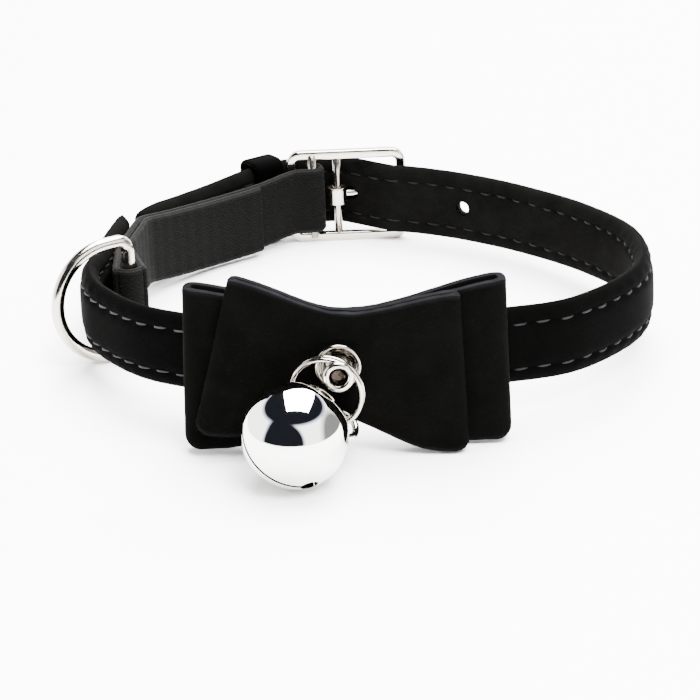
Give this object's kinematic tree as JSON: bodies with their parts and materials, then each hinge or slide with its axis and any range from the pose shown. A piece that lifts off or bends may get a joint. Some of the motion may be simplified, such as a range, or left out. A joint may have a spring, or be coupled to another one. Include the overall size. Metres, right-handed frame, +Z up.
{
  "type": "pet bow tie collar",
  "caption": "Buckled velvet pet collar with an elastic run, a layered bow, a round bell on a split ring under the bow, a D-ring and a velvet tail keeper.",
  "frame": {"origin": "middle of the plan of the whole collar, at the height it lies on", "axes": "+Z up with the collar lying on its edge, -Y towards the bow, +X to the right seen from the bow"},
  "size_m": [0.079, 0.1018, 0.0239],
  "materials": {
    "black_velvet": "short velvet pile over soft padding, stitched along both edges",
    "elastic_weave": "matt woven elastic",
    "chrome_plate": "bright plated steel"
  },
  "bodies": {
    "collar": {"neck_strap": "black_velvet", "bow_back": "black_velvet", "bow_front": "black_velvet", "elastic_band": "elastic_weave", "buckle_frame": "chrome_plate", "buckle_prong": "chrome_plate", "tail_keeper": "black_velvet", "rivet": "chrome_plate", "rivet_washer": "chrome_plate", "split_ring": "chrome_plate", "bell": "chrome_plate"},
    "d_ring": {"d_ring": "chrome_plate"}
  },
  "joints": [
    {"name": "d_ring_swing", "type": "hinge", "parent": "collar", "child": "d_ring", "pos_m": [-0.0294, 0.00206, 0.00877], "axis": [0, 0, 1], "range_deg": [-55, 8]}
  ]
}
